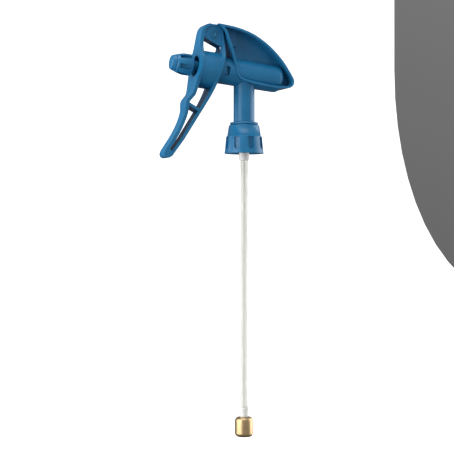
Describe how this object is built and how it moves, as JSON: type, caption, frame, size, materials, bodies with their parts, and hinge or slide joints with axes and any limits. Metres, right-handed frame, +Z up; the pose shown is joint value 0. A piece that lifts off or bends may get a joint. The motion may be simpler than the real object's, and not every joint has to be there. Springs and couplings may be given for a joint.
{
  "type": "trigger sprayer",
  "caption": "Trigger spray head with a lever, sealed pump, screw nozzle, bottle closure nut and a hanging dip tube with a filter weight.",
  "frame": {"origin": "on the neck's axis at the sealing face, where the gasket meets the bottle's lip", "axes": "+Z up along the neck's axis, the nozzle points towards -X, the trigger swings about Y"},
  "size_m": [0.1185, 0.0346, 0.3611],
  "materials": {
    "blue_polypropylene": "satin",
    "natural_polyethylene": "satin",
    "clear_polyethylene": "translucent",
    "nitrile_rubber": "matt",
    "stainless_steel": "bright",
    "brass": "polished"
  },
  "bodies": {
    "body": {"body_housing": "blue_polypropylene", "pivot_pin": "blue_polypropylene", "valve_body": "natural_polyethylene", "ball_cage": "natural_polyethylene", "neck_seal": "nitrile_rubber", "pump_cylinder": "blue_polypropylene", "rod_wiper": "nitrile_rubber", "rod_bush": "natural_polyethylene", "return_spring": "stainless_steel", "dip_tube": "clear_polyethylene", "intake_filter": "natural_polyethylene", "brass_weight": "brass"},
    "nut": {"closure_nut": "blue_polypropylene", "bottle_gasket": "nitrile_rubber"},
    "lever": {"trigger": "blue_polypropylene"},
    "plunger": {"piston_rod": "blue_polypropylene", "piston_head": "natural_polyethylene", "front_piston_seal": "nitrile_rubber", "rear_piston_seal": "nitrile_rubber", "outlet_seat": "natural_polyethylene", "outlet_spring": "stainless_steel", "spring_stop": "natural_polyethylene", "swirl_insert": "natural_polyethylene"},
    "outlet_valve": {"outlet_ball": "stainless_steel"},
    "inlet_valve": {"inlet_ball": "stainless_steel"},
    "washer": {"nozzle_seal": "nitrile_rubber"},
    "nozzle": {"nozzle_cap": "blue_polypropylene"}
  },
  "joints": [
    {"name": "trigger_pull", "type": "hinge", "parent": "body", "child": "lever", "pos_m": [-0.0305, 0, 0.08636], "axis": [0, -1, 0], "range_deg": [0, 16], "stiffness_Nm_per_rad": 0.74, "springref_deg": -11.29},
    {"name": "piston_slide", "type": "slide", "parent": "body", "child": "plunger", "axis": [0.9936, 0, -0.1132], "range_m": [0, 0.00809], "deforming": ["return_spring"]},
    {"name": "nozzle_advance", "type": "slide", "parent": "plunger", "child": "washer", "axis": [-0.9936, 0, 0.1132], "range_m": [0, 0.003]},
    {"name": "nozzle_turn", "type": "hinge", "parent": "washer", "child": "nozzle", "pos_m": [0, 0, 0.0537], "axis": [-0.9936, 0, 0.1132], "range_deg": [0, 360]},
    {"name": "nut_turn", "type": "hinge", "parent": "body", "child": "nut", "pos_m": [0, 0, 0], "axis": [0, 0, 1], "continuous": true},
    {"name": "inlet_ball_lift", "type": "slide", "parent": "body", "child": "inlet_valve", "axis": [0, 0, 1], "range_m": [0, 0.0012]},
    {"name": "outlet_ball_lift", "type": "slide", "parent": "plunger", "child": "outlet_valve", "axis": [-0.9936, 0, 0.1132], "range_m": [0, 0.001], "stiffness_N_per_m": 60, "springref_m": -0.003, "deforming": ["outlet_spring"]}
  ],
  "couplings": [
    {"joint": "piston_slide", "follows": "trigger_pull", "m_per_rad": 0.028906},
    {"joint": "nozzle_turn", "follows": "nozzle_advance", "rad_per_m": 2094.3}
  ]
}
